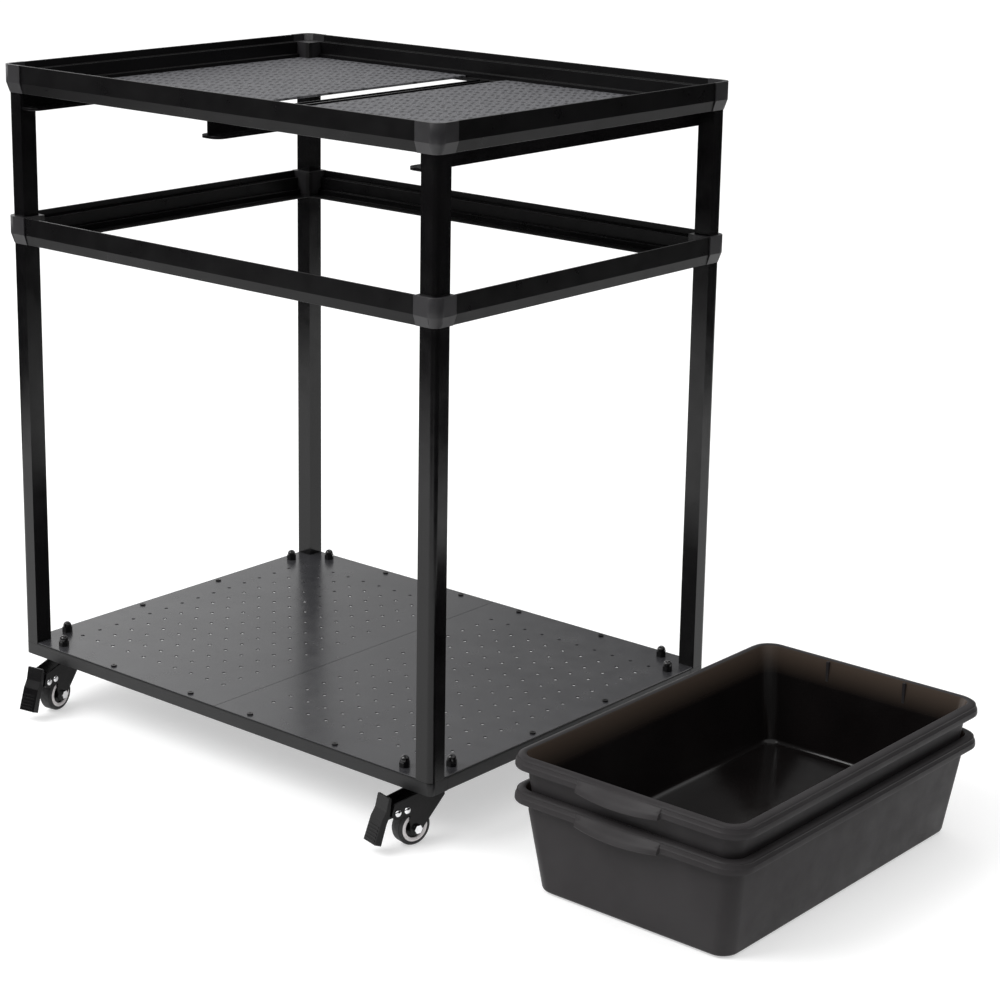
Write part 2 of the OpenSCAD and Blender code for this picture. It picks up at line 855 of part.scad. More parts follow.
post(-1, -1);  // post_front_left
post(1, -1);  // post_front_right
post(-1, 1);  // post_back_left
post(1, 1);  // post_back_right
rail_x(-1, top_z);  // top_rail_front
rail_x(1, top_z);  // top_rail_back
rail_y(-1, top_z);  // top_rail_left
rail_y(1, top_z);  // top_rail_right
top_corner(-1, -1);  // top_corner_front_left
top_corner(1, -1);  // top_corner_front_right
top_corner(-1, 1);  // top_corner_back_left
top_corner(1, 1);  // top_corner_back_right
rail_x(-1, mid_z);  // mid_rail_front
rail_x(1, mid_z);  // mid_rail_back
rail_y(-1, mid_z);  // mid_rail_left
rail_y(1, mid_z);  // mid_rail_right
mid_corner(-1, -1);  // mid_corner_front_left
mid_corner(1, -1);  // mid_corner_front_right
mid_corner(-1, 1);  // mid_corner_back_left
mid_corner(1, 1);  // mid_corner_back_right
base_rail_x(-1);  // base_rail_front
base_rail_x(1);  // base_rail_back
base_rail_y(-1);  // base_rail_left
base_rail_y(1);  // base_rail_right
shelf_sheet(-1);  // shelf_sheet_left
shelf_sheet(1);  // shelf_sheet_right
deck_panel(-1);  // deck_panel_left
deck_panel(1);  // deck_panel_right
runner_side(-1);  // bin_runner_left
runner_middle();  // bin_runner_middle
runner_side(1);  // bin_runner_right
shelf_screws();
caster_bolts();
dome_nuts();
caster_plate(-1, -1);  // caster_plate_front_left
caster_plate(1, -1);  // caster_plate_front_right
caster_plate(-1, 1);  // caster_plate_back_left
caster_plate(1, 1);  // caster_plate_back_right
caster_fork(-1, -1, yaw_front_left);  // caster_fork_front_left
caster_fork(1, -1, yaw_front_right);  // caster_fork_front_right
caster_fork(-1, 1, yaw_back_left);  // caster_fork_back_left
caster_fork(1, 1, yaw_back_right);  // caster_fork_back_right
tyre(-1, -1, yaw_front_left);  // tyre_front_left
tyre(1, -1, yaw_front_right);  // tyre_front_right
tyre(-1, 1, yaw_back_left);  // tyre_back_left
tyre(1, 1, yaw_back_right);  // tyre_back_right
wheel_hub(-1, -1, yaw_front_left);  // wheel_hub_front_left
wheel_hub(1, -1, yaw_front_right);  // wheel_hub_front_right
wheel_hub(-1, 1, yaw_back_left);  // wheel_hub_back_left
wheel_hub(1, 1, yaw_back_right);  // wheel_hub_back_right
axle(-1, -1, yaw_front_left);  // axle_front_left
axle(1, -1, yaw_front_right);  // axle_front_right
axle(-1, 1, yaw_back_left);  // axle_back_left
axle(1, 1, yaw_back_right);  // axle_back_right
brake_pedal(-1, -1, yaw_front_left);  // brake_pedal_front_left
brake_pedal(1, -1, yaw_front_right);  // brake_pedal_front_right
brake_pedal(-1, 1, yaw_back_left);  // brake_pedal_back_left
brake_pedal(1, 1, yaw_back_right);  // brake_pedal_back_right
bin(0);  // lower_bin
bin(bin_nest);  // upper_bin
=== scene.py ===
"""Looks of the wheeled terrarium stand and its two nested bins. Metres, +Z up, same frame as the CAD."""

import json
import math

import bmesh
import bpy
from mathutils import Matrix, Vector


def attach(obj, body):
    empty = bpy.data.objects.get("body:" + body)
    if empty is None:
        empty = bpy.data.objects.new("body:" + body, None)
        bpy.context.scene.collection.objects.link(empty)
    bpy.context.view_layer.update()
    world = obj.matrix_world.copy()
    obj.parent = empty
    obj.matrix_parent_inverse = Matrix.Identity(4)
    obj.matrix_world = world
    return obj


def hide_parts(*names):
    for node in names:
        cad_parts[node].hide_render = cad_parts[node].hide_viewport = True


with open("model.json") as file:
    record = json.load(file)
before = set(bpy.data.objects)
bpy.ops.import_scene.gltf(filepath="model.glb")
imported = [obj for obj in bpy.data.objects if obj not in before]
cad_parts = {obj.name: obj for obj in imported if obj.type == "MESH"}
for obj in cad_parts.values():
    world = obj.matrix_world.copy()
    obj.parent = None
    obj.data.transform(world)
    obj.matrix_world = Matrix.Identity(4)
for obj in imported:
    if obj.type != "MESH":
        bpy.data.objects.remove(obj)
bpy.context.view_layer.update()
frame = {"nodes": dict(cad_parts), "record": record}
NODES = frame["nodes"]

# The stand's middle in x and half of its width and depth over the posts
STAND_X = -0.183
HALF_W, HALF_D = 0.305, 0.2285


# Node tree helpers

# Sockets of a colour Mix node, whose names several of them share
MIX_FACTOR, MIX_FIRST, MIX_SECOND, MIX_RESULT = 0, 6, 7, 2
# Where most of a noise's values lie
NOISE_SPAN = (0.3, 0.7)
WHITE = (1.0, 1.0, 1.0)


def shader_of(tree):
    """The tree's Principled shader."""
    return next(n for n in tree.nodes if n.type == "BSDF_PRINCIPLED")


def new_material(name):
    """A node material, its node tree and its shader."""
    mat = bpy.data.materials.new(name)
    mat.use_nodes = True
    return mat, mat.node_tree, shader_of(mat.node_tree)


def set_inputs(node, **values):
    """Sets sockets by name, with _ standing for a space."""
    for key, value in values.items():
        node.inputs[key.replace("_", " ")].default_value = value


def add(tree, kind, **values):
    """A new node with its sockets set."""
    node = tree.nodes.new(kind)
    set_inputs(node, **values)
    return node


def link(tree, source, target):
    """Joins two sockets, in place of what the target had."""
    tree.links.new(source, target)


def coordinates(tree, cell=(1.0, 1.0, 1.0), turn=0.0):
    """Object coordinates, turned about Z and counted in cells of a size in metres."""
    coord = tree.nodes.new("ShaderNodeTexCoord")
    mapping = tree.nodes.new("ShaderNodeMapping")
    mapping.vector_type = "TEXTURE"
    mapping.inputs["Scale"].default_value = cell
    mapping.inputs["Rotation"].default_value = (0.0, 0.0, turn)
    link(tree, coord.outputs["Object"], mapping.inputs["Vector"])
    return mapping.outputs["Vector"]


def axes(tree, vector):
    """The X, Y and Z of a vector, by name."""
    node = tree.nodes.new("ShaderNodeSeparateXYZ")
    link(tree, vector, node.inputs[0])
    return node.outputs


def noise(tree, vector, scale, detail=3.0, roughness=0.55):
    """A noise value between 0 and 1."""
    node = add(tree, "ShaderNodeTexNoise", Scale=scale, Detail=detail, Roughness=roughness)
    link(tree, vector, node.inputs["Vector"])
    return node.outputs["Fac"]


def mapped(tree, value, low, high, start, end):
    """The value rescaled from start..end to low..high, clamped."""
    node = tree.nodes.new("ShaderNodeMapRange")
    for socket, number in (("From Min", start), ("From Max", end), ("To Min", low), ("To Max", high)):
        node.inputs[socket].default_value = number
    link(tree, value, node.inputs["Value"])
    return node.outputs["Result"]


def ramp(tree, value, start, end):
    """0 below the start, 1 above the end, and even in between."""
    return mapped(tree, value, 0.0, 1.0, start, end)


def operate(tree, operation, *values):
    """The result of a math node on sockets or plain numbers."""
    node = tree.nodes.new("ShaderNodeMath")
    node.operation = operation
    for socket, value in zip(node.inputs, values):
        if isinstance(value, float):
            socket.default_value = value
        else:
            link(tree, value, socket)
    return node.outputs[0]


def mixed(tree, factor, first, second):
    """A colour between two, by the factor. Each is a tuple or a socket."""
    node = tree.nodes.new("ShaderNodeMix")
    node.data_type = "RGBA"
    for socket, colour in ((MIX_FIRST, first), (MIX_SECOND, second)):
        if isinstance(colour, tuple):
            node.inputs[socket].default_value = (*colour, 1.0)
        else:
            link(tree, colour, node.inputs[socket])
    link(tree, factor, node.inputs[MIX_FACTOR])
    return node.outputs[MIX_RESULT]


def uneven_gloss(tree, shader, place, rough, scale, detail=3.0):
    """Roughness that drifts between two values over the surface."""
    drift = mapped(tree, noise(tree, place, scale, detail), *rough, *NOISE_SPAN)
    link(tree, drift, shader.inputs["Roughness"])


def bump(tree, shader, height, strength, distance):
    """A bump on the shader's normal."""
    node = add(tree, "ShaderNodeBump", Strength=strength, Distance=distance)
    link(tree, height, node.inputs["Height"])
    link(tree, node.outputs["Normal"], shader.inputs["Normal"])


# Materials

PEEL_DEPTH = 0.0004
FINE_DEPTH = 0.0002
DUST_GREY = (0.3, 0.3, 0.3)
# Black of the painted dark reflection along the base tubes' rounded top edge, and how softly it comes in
REFLECTION_BLACK = (0.001, 0.001, 0.001)
REFLECTION_BLEND = 0.0001
TONE_BLEND = 0.0002
# Deck panels: size of the cell of one pressed-in dash, how far its rows are turned, and its depth
DASH_CELL = (0.0085, 0.022, 1.0)
DASH_TURN = math.radians(31.0)
DASH_DEPTH = 0.0012


def dusted(tree, place, colour, amount):
    """The colour with grey specks where the surface faces up."""
    normal = tree.nodes.new("ShaderNodeNewGeometry").outputs["Normal"]
    up = mapped(tree, axes(tree, normal)["Z"], low=0.0, high=amount, start=0.6, end=1.0)
    specks = ramp(tree, noise(tree, place, scale=260.0, detail=6.0, roughness=0.7), 0.5, 0.75)
    return mixed(tree, operate(tree, "MULTIPLY", up, specks), colour, DUST_GREY)


def coated(name, light, dark, rough=(0.25, 0.38), peel=0.06, grain=900.0, dust=0.0, shine=0.5, dark_reflection_from=0.0):
    """Painted or moulded surface: faint blotches, uneven gloss and a fine orange peel.

    It may carry a little dust on top, and it may be black above a height, the cap. It may carry a little
    dust on top, and it may be black above a height, a painted dark reflection along a rounded top edge."""
    mat, tree, shader = new_material(name)
    place = coordinates(tree)
    blotches = ramp(tree, noise(tree, place, scale=14.0, detail=4.0), 0.35, 0.65)
    colour = mixed(tree, blotches, dark, light)
    if dust:
        colour = dusted(tree, place, colour, dust)
    if dark_reflection_from:
        # Painted dark reflection: black above the height
        above = ramp(tree, axes(tree, place)["Z"], dark_reflection_from - REFLECTION_BLEND, dark_reflection_from + REFLECTION_BLEND)
        colour = mixed(tree, above, colour, REFLECTION_BLACK)
    link(tree, colour, shader.inputs["Base Color"])
    uneven_gloss(tree, shader, place, rough, scale=40.0, detail=5.0)
    bump(tree, shader, noise(tree, place, scale=grain, detail=2.0), peel, PEEL_DEPTH)
    set_inputs(shader, Specular_IOR_Level=shine)
    return mat


def embossed(name, light, dark, rough=(0.42, 0.55), shine=0.12):
    """Deck panel with slanting rows of pressed-in dashes, painted dark as painted shade in the dents, and a
    fine grain between them.
    """
    mat, tree, shader = new_material(name)
    place = coordinates(tree)
    cells = add(tree, "ShaderNodeTexVoronoi", Scale=1.0, Randomness=0.3)
    cells.voronoi_dimensions = "2D"
    link(tree, coordinates(tree, DASH_CELL, DASH_TURN), cells.inputs["Vector"])
    # Painted shade: dark in the pressed-in dashes, light between them
    between = ramp(tree, cells.outputs["Distance"], 0.1, 0.36)
    specks = noise(tree, place, scale=420.0, roughness=0.7)
    grain = mapped(tree, specks, low=0.4, high=1.0, start=0.35, end=0.65)
    relief_and_dent_shade = operate(tree, "MULTIPLY", between, grain)
    link(tree, mixed(tree, relief_and_dent_shade, dark, light), shader.inputs["Base Color"])
    uneven_gloss(tree, shader, place, rough, scale=55.0, detail=4.0)
    bump(tree, shader, relief_and_dent_shade, 1.0, DASH_DEPTH)
    set_inputs(shader, Specular_IOR_Level=shine)
    return mat


def metal(name, colour, rough, dullness=0.72, scratch=0.08):
    """Plated steel with uneven shine and fine scratches."""
    mat, tree, shader = new_material(name)
    place = coordinates(tree)
    dull = tuple(dullness * c for c in colour)
    tone = ramp(tree, noise(tree, place, scale=70.0, detail=5.0), 0.35, 0.7)
    link(tree, mixed(tree, tone, colour, dull), shader.inputs["Base Color"])
    uneven_gloss(tree, shader, place, rough, scale=240.0, detail=4.0)
    bump(tree, shader, noise(tree, place, scale=1400.0), scratch, FINE_DEPTH)
    set_inputs(shader, Metallic=1.0)
    return mat


def rubber(name, colour, rough=(0.55, 0.75), dust=0.03, grain=0.25):
    """Smooth dark rubber, a little dusty, with fine moulding grain."""
    mat, tree, shader = new_material(name)
    place = coordinates(tree)
    grey = tuple(min(1.0, c + dust) for c in colour)
    tone = ramp(tree, noise(tree, place, scale=120.0, detail=5.0, roughness=0.65), 0.45, 0.75)
    link(tree, mixed(tree, tone, colour, grey), shader.inputs["Base Color"])
    uneven_gloss(tree, shader, place, rough, scale=300.0)
    bump(tree, shader, noise(tree, place, scale=2400.0), grain, FINE_DEPTH)
    return mat


def two_tone(name, light, dark, inner, depth):
    """Connector: one colour on the ring's outside and another on its inside, past a depth from its faces."""
    mat = coated(name, light, dark, rough=(0.34, 0.48), peel=0.16, grain=1500.0)
    tree = mat.node_tree
    base = shader_of(tree).inputs["Base Color"]
    place = axes(tree, coordinates(tree))
    reach = []
    for axis, centre, half in (("X", STAND_X, HALF_W), ("Y", 0.0, HALF_D)):
        away = operate(tree, "ABSOLUTE", operate(tree, "SUBTRACT", place[axis], centre))
        edge = half - depth
        reach.append(ramp(tree, away, edge - TONE_BLEND, edge + TONE_BLEND))
    outside = operate(tree, "MAXIMUM", *reach)
    link(tree, mixed(tree, outside, inner, base.links[0].from_socket), base)
    return mat


def smoky_plastic_painted_glow(name, light, dark, painted_glow_colour, band, rough, shine):
    """Dark moulded plastic with a painted glow along its upper edge, where light comes through the wall.

    The band is the two heights between which the painted glow comes in."""
    mat = coated(name, light, dark, rough=rough, peel=0.08, grain=1300.0, shine=shine)
    tree = mat.node_tree
    base = shader_of(tree).inputs["Base Color"]
    # Painted glow: the colour turns towards the glow colour up through the band
    glow = ramp(tree, axes(tree, coordinates(tree))["Z"], *band)
    link(tree, mixed(tree, glow, base.links[0].from_socket, painted_glow_colour), base)
    return mat


BLACK = (0.0035, 0.0033, 0.0036)
DEEP_BLACK = (0.0022, 0.002, 0.0023)

# Each material slot with its recipe and the recipe's values
RECIPES = {
    "gloss_black_metal": (
        coated, dict(light=BLACK, dark=DEEP_BLACK, rough=(0.14, 0.24), peel=0.03, grain=700.0, shine=0.32),
    ),
    "rail_black": (coated, dict(light=BLACK, dark=DEEP_BLACK, rough=(0.26, 0.36), peel=0.025, shine=0.18)),
    "connector_grey": (
        two_tone, dict(light=(0.018, 0.017, 0.019), dark=(0.012, 0.0115, 0.0125), inner=BLACK, depth=0.019),
    ),
    # The base tubes' rounded top edge is painted black, a painted dark reflection
    "base_charcoal": (
        coated,
        dict(
            light=(0.009, 0.009, 0.0095), dark=(0.006, 0.006, 0.0064), rough=(0.28, 0.4), peel=0.08,
            shine=0.3, dark_reflection_from=0.0743,
        ),
    ),
    "shelf_grey": (
        coated,
        dict(
            light=(0.036, 0.036, 0.039), dark=(0.028, 0.028, 0.031), rough=(0.2, 0.28), peel=0.03,
            grain=800.0, dust=0.05,
        ),
    ),
    # The dark colour is painted shade in the deck's pressed-in dashes
    "deck_grey": (embossed, dict(light=(0.16, 0.16, 0.17), dark=(0.02, 0.02, 0.022))),
    "black_hardware": (coated, dict(light=BLACK, dark=DEEP_BLACK, rough=(0.1, 0.2), peel=0.02)),
    "zinc_steel": (metal, dict(colour=(0.62, 0.62, 0.64), rough=(0.25, 0.45))),
    "caster_black": (coated, dict(light=BLACK, dark=DEEP_BLACK, rough=(0.16, 0.28), peel=0.05, shine=0.2)),
    "tyre_black": (rubber, dict(colour=(0.006, 0.006, 0.0065))),
    "hub_plastic": (
        coated, dict(light=(0.78, 0.75, 0.75), dark=(0.68, 0.65, 0.65), rough=(0.22, 0.32), peel=0.03),
    ),
    "bright_chrome": (metal, dict(colour=(0.9, 0.9, 0.91), rough=(0.05, 0.14))),
    "bin_plastic": (
        coated,
        dict(
            light=(0.030, 0.028, 0.029), dark=(0.024, 0.022, 0.023), rough=(0.38, 0.5), peel=0.08,
            grain=1300.0, shine=0.1,
        ),
    ),
    # Inside of the bins: painted much darker than the outside as painted shade within the bin, with a
    # painted glow near the rim
    "bin_inside": (
        smoky_plastic_painted_glow,
        dict(
            light=(0.006, 0.005, 0.005), dark=(0.004, 0.0033, 0.0033), painted_glow_colour=(0.062, 0.046, 0.036),
            band=(0.076, 0.102), rough=(0.1, 0.18), shine=0.25,
        ),
    ),
}
MATERIALS = {name: make(name, **values) for name, (make, values) in RECIPES.items()}


def dress(obj, *mats):
    """Gives the object its materials; each face keeps its own number."""
    picks = [min(face.material_index, len(mats) - 1) for face in obj.data.polygons]
    obj.data.materials.clear()
    for mat in mats:
        obj.data.materials.append(mat)
    obj.data.polygons.foreach_set("material_index", picks)


def dress_nodes():
    """The record's slots on the CAD nodes."""
    for part in frame["record"]["subparts"]:
        dress(NODES[part["node"]], MATERIALS[part["material_slot"]])


# Mesh helpers

SMALL_EDGE = 0.0003
WELD_REACH = 0.00002
SHARP_EDGE = 32.0


def add_box(mesh, centre, half):
    """A box added to a bmesh."""
    made = bmesh.ops.create_cube(mesh, size=2.0)
    bmesh.ops.scale(mesh, vec=half, verts=made["verts"])
    bmesh.ops.translate(mesh, vec=centre, verts=made["verts"])


def prism(mesh, outline, low, high):
    """Straight prism over an outline of XY points, counter-clockwise."""
    under = [mesh.verts.new((x, y, low)) for x, y in outline]
    over = [mesh.verts.new((x, y, high)) for x, y in outline]
    mesh.faces.new(list(reversed(under)))
    mesh.faces.new(over)
    for i in range(len(outline)):
        j = (i + 1) % len(outline)
        mesh.faces.new((under[i], under[j], over[j], over[i]))


def from_bmesh(name, mesh):
    """A linked object from a bmesh, with its normals facing out."""
    bmesh.ops.recalc_face_normals(mesh, faces=mesh.faces)
    data = bpy.data.meshes.new(name)
    mesh.to_mesh(data)
    mesh.free()
    obj = bpy.data.objects.new(name, data)
    bpy.context.collection.objects.link(obj)
    return obj


def shade(obj, angle):
    """Smooth shading up to an angle between faces, in degrees."""
    obj.data.shade_smooth()
    obj.data.set_sharp_from_angle(angle=math.radians(angle))


def round_edges(obj, width):
    """Welds the faces and bevels the sharp edges."""
    weld = obj.modifiers.new("weld", "WELD")
    weld.merge_threshold = WELD_REACH
    bevel = obj.modifiers.new("bevel", "BEVEL")
    bevel.width = width
    bevel.segments = 2
    bevel.limit_method = "ANGLE"
    bevel.angle_limit = math.radians(SHARP_EDGE)
    bevel.harden_normals = True


# Small radii on the edges of CAD nodes, by the start of their names

EDGE_WIDTHS = {
    "top_corner_": 0.0006, "mid_corner_": 0.0006, "top_rail_": 0.0005, "mid_rail_": 0.0005,
    "bin_runner_": 0.0009, "brake_pedal_": 0.0005, "caster_fork_": 0.0004, "base_rail_": 0.0008,
}


def soften_nodes():
    """Rounds the edges of the nodes that are named above."""
    for name, node in NODES.items():
        for start, width in EDGE_WIDTHS.items():
            if name.startswith(start):
                round_edges(node, width)


# Deck panels and the runner between them, in the stand's own frame

DECK_TOP = 0.698
DECK_THICK = 0.0025
DECK_EDGE_X, DECK_EDGE_Y = 0.0096, 0.0096
DECK_NOTCH = 0.0251
LEFT_PANEL_EDGE = -0.047
RIGHT_PANEL_EDGE = 0.0115
WEB_X, WEB_HALF = -0.0134, 0.0006
WEB_REACH = 0.2041
WEB_LOW, WEB_HIGH = 0.6795, 0.6978


def on_stand(obj):
    """Places a piece of the stand, which rides on its frame."""
    obj.location = (STAND_X, 0.0, 0.0)
    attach(obj, "frame")


def make_deck_panel(side, inner):
    """Embossed panel with its two outer corners notched round the connectors."""
    sign = -1 if side == "left" else 1
    outer_x, far_y = HALF_W - DECK_EDGE_X, HALF_D - DECK_EDGE_Y
    notch_x, notch_y = HALF_W - DECK_NOTCH, HALF_D - DECK_NOTCH
    outline = [
        (inner, -far_y), (sign * notch_x, -far_y), (sign * notch_x, -notch_y), (sign * outer_x, -notch_y),
        (sign * outer_x, notch_y), (sign * notch_x, notch_y), (sign * notch_x, far_y), (inner, far_y),
    ]
    mesh = bmesh.new()
    prism(mesh, outline if sign > 0 else list(reversed(outline)), DECK_TOP - DECK_THICK, DECK_TOP)
    obj = from_bmesh("deck_" + side, mesh)
    dress(obj, MATERIALS["deck_grey"])
    round_edges(obj, SMALL_EDGE)
    on_stand(obj)
    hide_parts("deck_panel_" + side)


def make_runner_web():
    """Upright edge of the middle runner, beside the gap between the deck panels."""
    mesh = bmesh.new()
    centre = (WEB_X, 0.0, (WEB_LOW + WEB_HIGH) / 2)
    add_box(mesh, centre, (WEB_HALF, WEB_REACH, (WEB_HIGH - WEB_LOW) / 2))
    obj = from_bmesh("runner_web", mesh)
    dress(obj, MATERIALS["rail_black"])
    round_edges(obj, SMALL_EDGE)
    on_stand(obj)


def make_stand_details():
    """Both deck panels, with the wider gap at the left one, and the runner's edge."""
    make_deck_panel("left", LEFT_PANEL_EDGE)
    make_deck_panel("right", RIGHT_PANEL_EDGE)
    make_runner_web()


# Bins

BIN_PLACE = Vector((0.3575, -0.022, 0.0))
BIN_NEST = 0.034
BIN_W, BIN_L, BIN_H = 0.270, 0.434, 0.106
BIN_RIM, BIN_WALL = 0.009, 0.002
BIN_DRAFT_X, BIN_DRAFT_Y = 0.015, 0.013
BIN_RIM_R = 0.026
LEAST_R = 0.003
ARC_STEPS = 8

# The handle: half its width, how far it stands out at its ends and in the middle, how much it droops there
HANDLE_END = 0.0477
HANDLE_STEP = 0.0035
HANDLE_REACH = 0.0088
HANDLE_DROP = 0.45
# Points along the front edge, close together at the handle's ends
FRONT_X = (-0.062, -0.0482, -0.0472, -0.041, -0.034, -0.026, -0.0175, -0.009, 0.0)
FRONT_X = FRONT_X + tuple(-x for x in reversed(FRONT_X[:-1]))

# Rings of the wall, outside and inside: height and how far inside the outer face
OUTER_RINGS = (
    (0.0, 0.030), (0.0, 0.006), (0.0006, 0.0028), (0.0022, 0.0006), (0.004, 0.0),
    (BIN_H - 0.0235, 0.0), (BIN_H - 0.0215, 0.0004), (BIN_H - BIN_WALL - 0.001, 0.0004),
)
INNER_RINGS = (
    (BIN_H - 0.0026, BIN_WALL), (0.0075, 0.0026), (0.0042, 0.0034), (0.0026, 0.0052), (0.0020, 0.0085),
    (0.0020, 0.032),
)
# Rings of the rim, from the wall outwards and back over the top: height, inset, share of the handle's bulge
RIM_RINGS = (
    (0.1038, BIN_WALL, 0.0), (0.0942, BIN_WALL, 0.84), (0.0940, 0.0012, 0.92), (0.0942, 0.0003, 0.98),
    (0.0952, 0.0, 1.0), (0.0975, 0.0002, 0.8), (0.0995, 0.0005, 0.6), (0.1002, 0.0012, 0.5),
    (0.1025, 0.0018, 0.26), (0.1045, 0.0032, 0.05), (0.1056, 0.0052, 0.0), (BIN_H, 0.0072, 0.0),
    (BIN_H, 0.0088, 0.0), (0.1058, 0.0099, 0.0), (0.1053, 0.0107, 0.0), (0.1045, 0.0110, 0.0),
)
# The inside's material starts with the last span of the rim
INSIDE_FROM = len(OUTER_RINGS) + len(RIM_RINGS) - 2
# Ribs and gussets under the rim, on both sides of the middle: centre and half size
BIN_RIBS = (
    ((0.046, 0.2085, 0.0883), (0.0015, 0.0055, 0.0160)),
    ((0.046, -0.2095, 0.0993), (0.0015, 0.0045, 0.0050)),
    ((0.090, -0.2100, 0.0990), (0.0012, 0.0040, 0.0050)),
    ((0.090, 0.2100, 0.0990), (0.0012, 0.0040, 0.0050)),
)


def edge_points(half_w, half_l, radius):
    """Rounded rectangle, counter-clockwise from the right end of the front edge."""
    points = []
    for sx, sy, start in ((1, -1, -90), (1, 1, 0), (-1, 1, 90), (-1, -1, 180)):
        for i in range(ARC_STEPS + 1):
            a = math.radians(start + 90.0 * i / ARC_STEPS)
            x = sx * (half_w - radius) + radius * math.cos(a)
            y = sy * (half_l - radius) + radius * math.sin(a)
            points.append((x, y))
    return points + [(x, -half_l) for x in FRONT_X]


def wall_ring(z, inward):
    """Height, insets in x and y, corner radius and bulge of a ring on the slanting wall."""
    up = 1.0 - z / BIN_H
    inset_x = BIN_RIM + BIN_DRAFT_X * up + inward
    inset_y = BIN_RIM + BIN_DRAFT_Y * up + inward
    return z, inset_x, inset_y, max(BIN_RIM_R - BIN_RIM - 0.6 * inward, LEAST_R), 0.0


def rim_ring(z, inset, bulge):
    """The same of a ring on the rim."""
    return z, inset, inset, max(BIN_RIM_R - inset, LEAST_R), bulge


def bin_profile():
    """Rings of a bin from the middle of its underside, over the rim, to its floor."""
    outside = [wall_ring(*ring) for ring in OUTER_RINGS]
    rim = [rim_ring(*ring) for ring in RIM_RINGS]
    return outside + rim + [wall_ring(*ring) for ring in INNER_RINGS]


def handle_bulge(x):
    """How far the handle's edge stands out at x: an arc that ends in a small step."""
    share = abs(x) / HANDLE_END
    return 0.0 if share >= 1.0 else HANDLE_STEP + (HANDLE_REACH - HANDLE_STEP) * (1.0 - share * share)


def bin_rings(mesh):
    """The profile's rings as vertices, with the handle drawn out of the front edge."""
    rings = []
    for z, inset_x, inset_y, radius, bulge in bin_profile():
        ring = []
        for x, y in edge_points(BIN_W / 2 - inset_x, BIN_L / 2 - inset_y, radius):
            out = bulge * handle_bulge(x) if y < 0 else 0.0
            ring.append(mesh.verts.new((x, y - out, z - HANDLE_DROP * out)))
        rings.append(ring)
    return rings


def make_bin(node, body, low):
    """Moulded bin: one shell with a rounded foot, a stepped rim, a handle tongue and ribs under the rim."""
    mesh = bmesh.new()
    rings = bin_rings(mesh)
    for k, (lower, upper) in enumerate(zip(rings, rings[1:])):
        for i in range(len(lower)):
            j = (i + 1) % len(lower)
            face = mesh.faces.new((lower[i], lower[j], upper[j], upper[i]))
            face.material_index = 1 if k >= INSIDE_FROM else 0
    mesh.faces.new(list(reversed(rings[0])))
    mesh.faces.new(rings[-1]).material_index = 1
    for sx in (-1, 1):
        for (x, y, z), half in BIN_RIBS:
            add_box(mesh, (sx * x, y, z), half)
    obj = from_bmesh(node + "_shell", mesh)
    obj.location = BIN_PLACE + Vector((0.0, 0.0, low))
    dress(obj, MATERIALS["bin_plastic"], MATERIALS["bin_inside"])
    shade(obj, SHARP_EDGE)
    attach(obj, body)
    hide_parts(node)


def make_bins():
    """The lower bin on the floor and the upper one nested in it."""
    make_bin("lower_bin", "bin_below", 0.0)
    make_bin("upper_bin", "bin_above", BIN_NEST)


# Casters, drawn with the swivel axis at the origin and the wheel trailing to -X

# Sides of the stand in x and y, and the way the wheel trails, in degrees
CASTERS = {
    "front_left": (-1, -1, 100.0),
    "front_right": (1, -1, 76.5),
    "back_left": (-1, 1, -80.0),
    "back_right": (1, 1, -102.0),
}
CASTER_INSET = 0.0315
# Points in X and Z
AXLE = (-0.0205, 0.019)
RIVET = (-0.032, 0.041)
PEDAL_PIN = (-0.043, 0.0405)
TREAD_TOP, TREAD_FOOT = (-0.0615, 0.0365), (-0.0700, 0.0130)
LEG_OUT = 0.0107
PIN_PROUD = 0.00015
WHEEL_HALF = 0.0075
REVOLVE_STEPS = 40
# Side of the hub, from the bore out: radius and how far it stands out of the tyre's side
HUB_FACE = (
    (0.0031, 0.0006), (0.0054, 0.0006), (0.0056, -0.0020), (0.0072, -0.0026), (0.0104, -0.0024),
    (0.0107, -0.0012), (0.0112, -0.0001), (0.0122, 0.0001), (0.0125, -0.0003), (0.0128, 0.0001),
    (0.0144, 0.0001), (0.0149, -0.0003), (0.0149, -0.0020),
)
HUB_DARK_R = 0.0108
HUB_SHARP, RIVET_SHARP = 35.0, 50.0
# A rivet's head: radius and height
RIVET_DOME = (
    (0.0037, 0.0), (0.0037, 0.0004), (0.0034, 0.0010), (0.0026, 0.0015), (0.0014, 0.0018), (0.0, 0.0019),
)
# Grip ribs of the pedal: how many, the first and the step as shares of the tread, and half of a rib's size
TREAD_RIBS = 5
TREAD_START, TREAD_STEP = 0.3, 0.14
TREAD_RIB_HALF = (0.0007, 0.0080, 0.0006)


def revolve(mesh, profile, centre, loop=False, dark_within=0.0):
    """Sweeps (radius, y) points about a line along Y through a centre in XZ.

    Faces within a radius of that line get the second material."""
    turns = [2.0 * math.pi * i / REVOLVE_STEPS for i in range(REVOLVE_STEPS)]
    rings = []
    for radius, y in profile:
        if radius == 0.0:
            rings.append([mesh.verts.new((centre[0], y, centre[1]))] * REVOLVE_STEPS)
        else:
            places = [(centre[0] + radius * math.cos(a), y, centre[1] + radius * math.sin(a)) for a in turns]
            rings.append([mesh.verts.new(place) for place in places])
    spans = list(zip(profile, profile[1:], rings, rings[1:]))
    if loop:
        spans.append((profile[-1], profile[0], rings[-1], rings[0]))
    for start, end, near, far in spans:
        dark = max(start[0], end[0]) < dark_within
        for i in range(REVOLVE_STEPS):
            j = (i + 1) % REVOLVE_STEPS
            corners = dict.fromkeys((near[i], near[j], far[j], far[i]))
            mesh.faces.new(tuple(corners)).material_index = int(dark)


